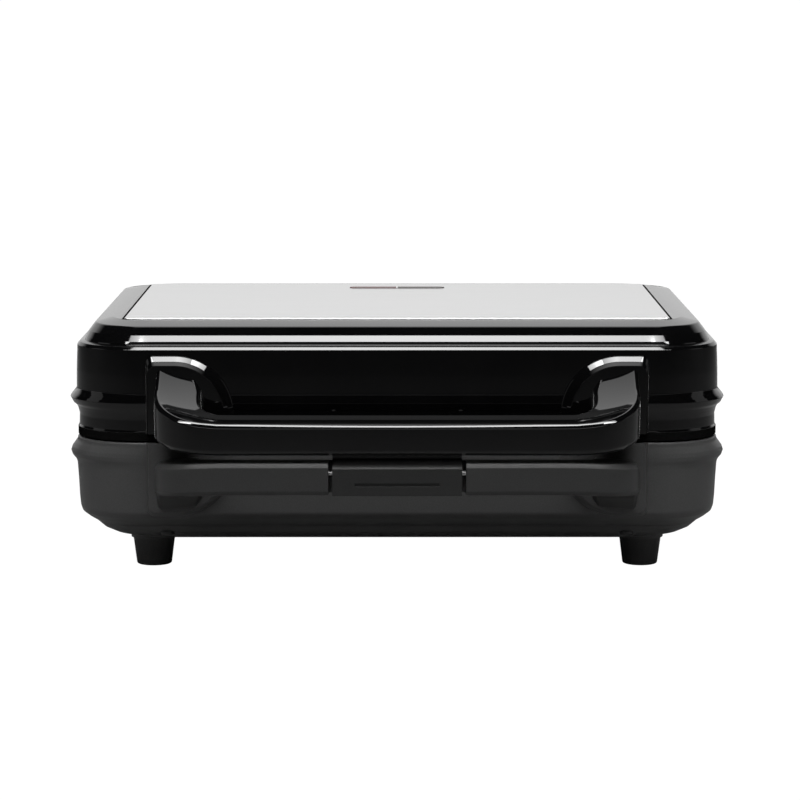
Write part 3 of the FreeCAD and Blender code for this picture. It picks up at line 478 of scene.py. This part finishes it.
# Handle bosses
def boss_ring(out, flare, turned, side):
    """The fairing's outline round the root of an arm, at one distance out from the wall."""
    outer = handle_half + boss_side_margin + boss_side_flare * flare
    inner = grip_half - boss_inner_margin - boss_inner_flare * flare
    if turned:
        up = -1
        low = base_top
        top = lower_bar_low - lower_arch_rise - lower_arm_rise - boss_top_margin - boss_top_flare * flare / 2
    else:
        up = 1
        low = lid_bottom
        top = upper_bar_high + arch_rise + arm_rise + boss_top_margin + boss_top_flare * flare
    small = boss_corner_r
    large = boss_arch_r + boss_inner_flare * (flare - 1)
    points = [(inner, low), (outer, low)]
    for degrees in range(0, 91, 15):
        a = math.radians(degrees)
        points.append((outer - small + small * math.cos(a), top - up * small * (1 - math.sin(a))))
    for degrees in range(90, 181, 5):
        a = math.radians(degrees)
        points.append((inner + large + large * math.cos(a), top - up * large * (1 - math.sin(a))))
    return [Vector((side * x, front_y - out, z)) for x, z in points]


def build_bosses(name, turned, body):
    """The fairings of one handle."""
    points = [Vector((out, flare * boss_top_flare, 0)) for out, flare, r in boss_profile]
    levels = rounded_path(points, boss_profile)
    for side, tag in sides:
        boss = loft(name + "_" + tag, [boss_ring(p.x, p.y / boss_top_flare, turned, side) for p in levels])
        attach(boss, body)
        yield boss


# Handles
def arch(x, rise):
    """How far the bar has risen at x, in an arc that starts where its flat middle ends."""
    flat = handle_half - arch_run
    beyond = max(0.0, abs(x) - flat)
    radius = (arch_run ** 2 + rise ** 2) / (2 * rise)
    return radius - math.sqrt(radius ** 2 - min(beyond, arch_run) ** 2)


def handle_plan():
    """Pairs of outer and inner plan points, from the left root round to the right one."""
    arm_steps = 8
    turn_steps = 14
    bar_steps = 12
    outer_cx = handle_half - handle_corner_r
    outer_cy = handle_front_y + handle_corner_r
    inner_cx = grip_half - grip_corner_r
    inner_cy = handle_front_y + handle_bar_depth + grip_corner_r
    root_y = boss_face_y
    pairs = []
    for step in range(arm_steps):
        t = step / arm_steps
        outer = (-handle_half, root_y + (outer_cy - root_y) * t)
        inner = (-grip_half, root_y + (inner_cy - root_y) * t)
        pairs.append((outer, inner))
    for step in range(turn_steps + 1):
        a = math.radians(180 + 90 * step / turn_steps)
        c, s = math.cos(a), math.sin(a)
        outer = (-outer_cx + handle_corner_r * c, outer_cy + handle_corner_r * s)
        inner = (-inner_cx + grip_corner_r * c, inner_cy + grip_corner_r * s)
        pairs.append((outer, inner))
    for step in range(1, bar_steps + 1):
        t = step / bar_steps
        outer = (-outer_cx * (1 - t), handle_front_y)
        inner = (-inner_cx * (1 - t), handle_front_y + handle_bar_depth)
        pairs.append((outer, inner))
    mirrored = [((-o[0], o[1]), (-i[0], i[1])) for o, i in reversed(pairs[:-1])]
    return pairs + mirrored


def handle_rings(low, high, top_rise, arm_top, power, under_rise, arm_under):
    """Cross-sections of a handle along its plan, with round edges."""
    run = boss_face_y - handle_front_y
    rings = []
    across = 6
    r = handle_edge_r
    angles = [math.radians(degrees) for degrees in handle_edge_angles]
    rounds = [(1 - math.cos(a), 1 - math.sin(a)) for a in angles]
    for outer, inner in handle_plan():
        o = Vector((outer[0], outer[1], 0))
        i = Vector((inner[0], inner[1], 0))
        width = (i - o).length
        unit = (i - o) / width

        def level(distance, down, top):
            p = o + unit * distance
            share = max(0.0, (p.y - handle_front_y) / run)
            if top:
                z = high + arch(p.x, top_rise) + arm_top * share ** power - down
            else:
                z = low + arch(p.x, under_rise) + arm_under * share ** 2 + down
            return Vector((p.x, p.y, z))

        share = (i.y - handle_front_y) / run
        shoulder = max(r, arm_shoulder_r * (share - shoulder_start_share) / (1 - shoulder_start_share))
        ring = [level(r * aside, r * down, False) for aside, down in reversed(rounds)]
        ring += [level(r * aside, r * down, True) for aside, down in rounds]
        ring += [level(r + (width - r - shoulder) * k / across, 0, True) for k in range(1, across)]
        ring += [level(width - shoulder * aside, shoulder * down, True) for aside, down in reversed(rounds)]
        ring += [level(width - r * aside, r * down, False) for aside, down in rounds]
        ring += [level(r + (width - 2 * r) * k / across, 0, False) for k in range(across - 1, 0, -1)]
        rings.append(ring)
    return rings


def carve(piece, y0, y1, z0, z1):
    """Cuts a block out of the middle of a handle, as wide as the latch's recess."""
    verts = [(x, y, z) for x in (-recess_half, recess_half) for y in (y0, y1) for z in (z0, z1)]
    faces = [(0, 1, 3, 2), (4, 6, 7, 5), (0, 4, 5, 1), (2, 3, 7, 6), (0, 2, 6, 4), (1, 5, 7, 3)]
    cutter = make_mesh("cutter", verts, faces)
    cutter.modifiers.clear()
    piece.modifiers.clear()
    cut = piece.modifiers.new("cut", "BOOLEAN")
    cut.operation = "DIFFERENCE"
    cut.solver = "EXACT"
    cut.object = cutter
    shaped = bpy.data.meshes.new_from_object(piece.evaluated_get(bpy.context.evaluated_depsgraph_get()))
    piece.modifiers.clear()
    piece.data = shaped
    bpy.data.objects.remove(cutter)
    smooth(piece)


def build_upper_handle():
    sizes = (arch_rise, arm_rise, arm_power, arch_under_rise, arm_under_rise)
    handle = loft("upper_handle_grip", handle_rings(upper_bar_low, upper_bar_high, *sizes))
    y0 = handle_front_y + pocket_wall
    y1 = handle_front_y + handle_bar_depth - pocket_wall / 2
    roof = upper_bar_low + pocket_height - pocket_relief
    carve(handle, y0, y1, upper_bar_low - pocket_cut_below, roof)
    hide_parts("upper_handle")
    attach(handle, "lid")
    return handle


def build_lower_handle():
    """The lower handle, made the other way up and turned over."""
    high = upper_bar_low + lower_bar_height
    sizes = (lower_arch_rise, lower_arm_rise, lower_arm_power, lower_arch_top_rise, lower_arm_top_rise)
    turned = handle_rings(upper_bar_low, high, *sizes)
    top = upper_bar_low + lower_bar_high
    rings = [[Vector((p.x, p.y, top - p.z)) for p in ring] for ring in turned]
    handle = loft("lower_handle_grip", rings)
    y0 = handle_front_y - recess_cut_front
    y1 = handle_front_y + recess_depth
    carve(handle, y0, y1, lower_bar_low - recess_cut_past, lower_bar_high + recess_cut_past)
    round_edges(handle, handle_recess_edge)
    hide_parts("lower_handle")
    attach(handle, "base")
    return handle


# Hinge
def knuckle_outline(up):
    """The side view of a lid knuckle, or of a base ear when it isn't up."""
    sign = 1 if up else -1
    wall_y = back_y - case_wall * knuckle_root_share
    edge_z = case_gap / 2
    points = [(wall_y, edge_z), (hinge_y - hinge_setback / 2, edge_z)]
    for step in range(knuckle_steps + 1):
        a = math.radians(knuckle_start - knuckle_sweep * step / knuckle_steps)
        points.append((hinge_y + knuckle_r * math.cos(a), -knuckle_r * math.sin(a)))
    points.append((wall_y, knuckle_r * 2))
    return [(y, parting_z + sign * z) for y, z in points]


def build_hinges():
    """The ears of the base, then the knuckles of the lid. The middle ones hold the wire conduit."""
    ear_offset = (hinge_span - ear_width) / 2
    conduit_part = conduit_length / 2 - part_gap
    knuckle_width = hinge_span - ear_width * 2 - part_gap * 2
    places = [("ear", side * (hinge_centre + offset), ear_width, False)
              for side in (-1, 1) for offset in (-ear_offset, ear_offset)]
    places.append(("ear", -conduit_length / 4, conduit_part, False))
    places += [("knuckle", side * hinge_centre, knuckle_width, True) for side in (-1, 1)]
    places.append(("knuckle", conduit_length / 4, conduit_part, True))
    for number, (tag, x, width, up) in enumerate(places):
        name = "hinge_%s_%d" % (tag, number)
        piece = prism(name, knuckle_outline(up), x - width / 2, x + width / 2, knuckle_edge)
        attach(piece, "lid" if up else "base")
        yield piece, up


# Materials
def grey(level):
    return (level, level, level)


def new_material(name, colour, roughness, metallic=0.0):
    material = bpy.data.materials.new(name)
    material.use_nodes = True
    shader = material.node_tree.nodes["Principled BSDF"]
    shader.inputs["Base Color"].default_value = (*colour, 1)
    shader.inputs["Roughness"].default_value = roughness
    shader.inputs["Metallic"].default_value = metallic
    shader.inputs["IOR"].default_value = 1.45
    return material, shader


def add_node(tree, kind, values=None):
    """A node, with some of its inputs set."""
    node = tree.nodes.new(kind)
    for socket, value in (values or {}).items():
        node.inputs[socket].default_value = value
    return node


def speckle(material, shader, scale, low, high, rough, bump=0.0, distance=0.02, detail=4.0, stretch=None):
    """Fine noise in colour, roughness and bump. The bump's distance is in millimetres."""
    tree = material.node_tree
    vector = add_node(tree, "ShaderNodeTexCoord").outputs["Object"]
    noise = add_node(tree, "ShaderNodeTexNoise", {"Scale": scale, "Detail": detail})
    if stretch:
        mapping = add_node(tree, "ShaderNodeMapping", {"Scale": stretch})
        tree.links.new(vector, mapping.inputs["Vector"])
        vector = mapping.outputs["Vector"]
    tree.links.new(vector, noise.inputs["Vector"])
    ramp = add_node(tree, "ShaderNodeValToRGB")
    for stop, position, colour in zip(ramp.color_ramp.elements, (0.35, 0.65), (low, high)):
        stop.position = position
        stop.color = (*colour, 1)
    tree.links.new(noise.outputs["Fac"], ramp.inputs["Fac"])
    tree.links.new(ramp.outputs["Color"], shader.inputs["Base Color"])
    spread = add_node(tree, "ShaderNodeMapRange", {"To Min": rough[0], "To Max": rough[1]})
    tree.links.new(noise.outputs["Fac"], spread.inputs["Value"])
    tree.links.new(spread.outputs["Result"], shader.inputs["Roughness"])
    if bump:
        lift = add_node(tree, "ShaderNodeBump", {"Strength": bump, "Distance": distance * mm})
        tree.links.new(noise.outputs["Fac"], lift.inputs["Height"])
        tree.links.new(lift.outputs["Normal"], shader.inputs["Normal"])
    return material


def gloss_black(name, sheen, spread):
    material, shader = new_material(name, (0.0022, 0.0022, 0.0024), 0.04)
    shader.inputs["Sheen Weight"].default_value = sheen
    shader.inputs["Sheen Roughness"].default_value = spread
    return speckle(material, shader, 60, (0.0018, 0.0018, 0.002), (0.0026, 0.0026, 0.0028), (0.03, 0.05))


def satin_charcoal(name, tone):
    material, shader = new_material(name, grey(tone), 0.42)
    shader.inputs["Specular IOR Level"].default_value = 0.3
    return speckle(material, shader, 2600, grey(tone * 0.9), grey(tone * 1.1), (0.36, 0.48), 0.35)


def matt_black():
    material, shader = new_material("black_plastic_look", grey(0.005), 0.5)
    shader.inputs["Specular IOR Level"].default_value = 0.0
    return speckle(material, shader, 2200, grey(0.004), grey(0.007), (0.45, 0.58), 0.35)


def cast_look():
    material, shader = new_material("cast_plate_look", (0.03, 0.03, 0.032), 0.4, 0.3)
    low, high = (0.022, 0.022, 0.024), (0.038, 0.038, 0.04)
    return speckle(material, shader, 900, low, high, (0.34, 0.5), 0.3, 0.03, 8)


def steel_look(name, tone, roughness, stretch=None):
    material, shader = new_material(name, grey(tone), roughness, 1.0)
    low, high = grey(tone * 0.93), grey(tone * 1.05)
    rough = (roughness * 0.85, roughness * 1.2)
    return speckle(material, shader, 300, low, high, rough, 0.08, 0.01, 3, stretch)


def grey_look(name, tone, roughness):
    material, shader = new_material(name, grey(tone), roughness)
    rough = (roughness, roughness * 1.2)
    return speckle(material, shader, 1500, grey(tone * 0.92), grey(tone * 1.04), rough, 0.2, 0.015)


def rubber_look():
    material, shader = new_material("rubber_black_look", grey(0.012), 0.7)
    return speckle(material, shader, 1800, grey(0.045), grey(0.06), (0.62, 0.8), 0.4, 0.03)


def panel_look():
    """Fine grained steel, with the grain along X."""
    material, shader = new_material("panel_steel_look", grey(0.62), 0.28, 1.0)
    along_x = (0.02, 1, 1)
    return speckle(material, shader, 2600, grey(0.69), grey(0.73), (0.27, 0.33), 0.04, 0.003, 3, along_x)


def lens_look(name, low, high, glow):
    material, shader = new_material(name, high, 0.12)
    shader.inputs["Specular IOR Level"].default_value = 0.05
    shader.inputs["Emission Color"].default_value = (*high, 1)
    shader.inputs["Emission Strength"].default_value = glow
    return speckle(material, shader, 500, low, high, (0.08, 0.16))


def lamp_look():
    material, shader = new_material("lamp_glass_look", (0.9, 0.75, 0.6), 0.08)
    shader.inputs["Transmission Weight"].default_value = 0.8
    return speckle(material, shader, 400, (0.85, 0.7, 0.55), (0.95, 0.8, 0.65), (0.05, 0.12))


def paint(piece, material):
    piece.data.materials.clear()
    piece.data.materials.append(material)


# Camera, lights and floor
def place_camera():
    data = bpy.data.cameras.new("camera")
    data.sensor_width = sensor_mm
    data.lens = camera_focal_px * sensor_mm / image_px
    data.clip_end = camera_range
    camera = bpy.data.objects.new("camera", data)
    camera.location = camera_place
    camera.rotation_euler = (math.radians(90 - camera_pitch), 0, math.radians(camera_yaw))
    bpy.context.scene.collection.objects.link(camera)
    bpy.context.scene.camera = camera


def area_light(name, place, aim, size, power, spread=180):
    """A rectangular light, with its power in watts and its spread in degrees."""
    data = bpy.data.lights.new(name, "AREA")
    data.shape = "RECTANGLE"
    data.size, data.size_y = size
    data.energy = power
    data.spread = math.radians(spread)
    light = bpy.data.objects.new(name, data)
    light.location = place
    light.rotation_euler = (Vector(aim) - Vector(place)).to_track_quat("-Z", "Y").to_euler()
    bpy.context.scene.collection.objects.link(light)


def math_node(tree, operation, *values):
    """The result of a calculation on numbers or sockets."""
    node = tree.nodes.new("ShaderNodeMath")
    node.operation = operation
    for socket, value in zip(node.inputs, values):
        if isinstance(value, (int, float)):
            socket.default_value = value
        else:
            tree.links.new(value, socket)
    return node.outputs[0]


def seen_white(tree):
    """One for camera rays, and for mirror and glass rays that meet the floor beyond the table."""
    path = add_node(tree, "ShaderNodeLightPath")
    place = add_node(tree, "ShaderNodeNewGeometry")
    reach = add_node(tree, "ShaderNodeVectorMath")
    reach.operation = "LENGTH"
    tree.links.new(place.outputs["Position"], reach.inputs[0])
    far = add_node(tree, "ShaderNodeMapRange", {"From Min": table_reach, "From Max": table_reach * 2})
    tree.links.new(reach.outputs["Value"], far.inputs["Value"])
    mirrored = math_node(tree, "MAXIMUM", path.outputs["Is Glossy Ray"], path.outputs["Is Transmission Ray"])
    mirrored_far = math_node(tree, "MULTIPLY", mirrored, far.outputs["Result"])
    return math_node(tree, "MAXIMUM", path.outputs["Is Camera Ray"], mirrored_far)


def build_world():
    """A pale backdrop behind, a dark room above and in front, and white where the camera looks past them."""
    world = bpy.data.worlds.new("studio")
    bpy.context.scene.world = world
    world.use_nodes = True
    tree = world.node_tree
    place = add_node(tree, "ShaderNodeTexCoord")
    split = add_node(tree, "ShaderNodeSeparateXYZ")
    ramp = add_node(tree, "ShaderNodeValToRGB")
    tree.links.new(place.outputs["Generated"], split.inputs[0])
    tree.links.new(split.outputs["Z"], ramp.inputs["Fac"])
    stops = ramp.color_ramp.elements
    while len(stops) < len(backdrop_levels):
        stops.new(0.5)
    for stop, (position, level) in zip(stops, backdrop_levels):
        stop.position = position
        stop.color = (*grey(level), 1)
    behind = add_node(tree, "ShaderNodeMapRange", {"From Min": backdrop_from, "From Max": backdrop_to})
    tree.links.new(split.outputs["Y"], behind.inputs["Value"])
    back = math_node(tree, "MULTIPLY", ramp.outputs["Color"], behind.outputs["Result"])
    room = math_node(tree, "ADD", back, front_level)
    path = add_node(tree, "ShaderNodeLightPath")
    seen = math_node(tree, "MAXIMUM", room, path.outputs["Is Camera Ray"])
    tree.links.new(seen, tree.nodes["Background"].inputs["Strength"])
    tree.nodes["Background"].inputs["Color"].default_value = (1, 1, 1, 1)


def build_floor():
    mesh = bpy.data.meshes.new("floor")
    verts = [(x * floor_half, y * floor_half, 0) for x, y in ((-1, -1), (1, -1), (1, 1), (-1, 1))]
    mesh.from_pydata(verts, [], [(0, 1, 2, 3)])
    floor = bpy.data.objects.new("floor", mesh)
    floor.location = (0, 0, -floor_drop)
    bpy.context.scene.collection.objects.link(floor)
    material, shader = new_material("floor_paper", grey(floor_tone), 0.9)
    tree = material.node_tree
    glow = add_node(tree, "ShaderNodeEmission", {"Strength": floor_glow})
    mix = add_node(tree, "ShaderNodeMixShader")
    tree.links.new(math_node(tree, "MULTIPLY", seen_white(tree), floor_glow_share), mix.inputs[0])
    tree.links.new(shader.outputs[0], mix.inputs[1])
    tree.links.new(glow.outputs[0], mix.inputs[2])
    tree.links.new(mix.outputs[0], tree.nodes["Material Output"].inputs["Surface"])
    floor.data.materials.append(material)


def build_lights():
    area_light("front_strip", (0, -0.42, 1.0), (0, -0.08, 0.08), (0.96, 0.12), 0.75, 60)
    for side, tag in sides:
        x = side * 0.375
        area_light(tag + "_wing", (x, -0.492, 1.0), (x, -0.08, 0.08), (0.36, 0.085), 0.81, 90)
    area_light("top_softbox", (0, 0.62, 1.0), (0, 0.3, 0.08), (0.7, 1.1), 1.7, 110)
    area_light("front_softbox", (0, -1.1, 0.95), (0, -0.05, 0.05), (1.6, 0.5), 0.6, 50)
    for side, tag in sides:
        area_light(tag + "_panel", (side * 1.29, -0.19, 0.45), (0, -0.05, 0.06), (0.6, 0.9), 0.8)


# Making it all
bpy.context.scene.view_settings.view_transform = "Standard"
place_camera()
build_world()
build_lights()
build_floor()

gloss = gloss_black("gloss_black_plastic_look", 0.35, 0.18)
gloss_grip = gloss_black("gloss_grip_look", 0.4, 0.2)
charcoal = satin_charcoal("charcoal_plastic_look", 0.069)
# Painted shade: a darker copy of the base's charcoal for the lower handle, which is the same plastic as the
# base
charcoal_grip_painted_shade = satin_charcoal("charcoal_grip_shaded_look", 0.042)
dark = matt_black()

paint(build_lid_shell(), gloss)
paint(build_base_shell(), charcoal)
for boss in build_bosses("lid_boss", False, "lid"):
    paint(boss, gloss)
for boss in build_bosses("base_boss", True, "base"):
    paint(boss, charcoal)
paint(build_upper_handle(), gloss_grip)
# The lower handle takes the darker charcoal copy, painted shade
paint(build_lower_handle(), charcoal_grip_painted_shade)
for piece, up in build_hinges():
    paint(piece, gloss if up else charcoal)
# Painted shade: the black strip in the panel's gap stands in for its shadow
paint(build_gap_shade_strip(), dark)

slot_looks = {
    "charcoal_plastic": charcoal,
    "gloss_black_plastic": gloss,
    "black_plastic": dark,
    "latch_plastic": satin_charcoal("latch_plastic_look", 0.026),
    "cast_plate": cast_look(),
    "element_steel": steel_look("element_steel_look", 0.32, 0.42),
    "sheet_steel": steel_look("sheet_steel_look", 0.6, 0.3, (0.1, 1, 1)),
    "screw_steel": steel_look("screw_steel_look", 0.55, 0.32),
    "screw_black": steel_look("screw_black_look", 0.05, 0.4),
    "control_grey": grey_look("control_grey_look", 0.25, 0.45),
    "white_plastic": grey_look("white_plastic_look", 0.72, 0.4),
    "rubber_black": rubber_look(),
    "panel_steel": panel_look(),
    "red_lens": lens_look("red_lens_look", (0.06, 0.018, 0.02), (0.1, 0.024, 0.028), 0.15),
    "dark_lens": lens_look("dark_lens_look", (0.03, 0.02, 0.02), (0.05, 0.03, 0.03), 0.0),
    "lamp_glass": lamp_look(),
}
replaced = {"lid_shell", "base_shell", "upper_handle", "lower_handle"}
for subpart in frame["record"]["subparts"]:
    if subpart["node"] not in replaced:
        paint(frame["nodes"][subpart["node"]], slot_looks[subpart["material_slot"]])

edge_widths = {
    "latch": 0.35, "bottom_cover": 0.3, "lid_frame": 0.4, "lower_plate": 0.6, "upper_plate": 0.6,
    "lens_power": 0.1, "lens_ready": 0.1, "cord_gland": 0.4,
}
for node, width in edge_widths.items():
    soften(node, width)
soften("top_panel", 0.35, 6)
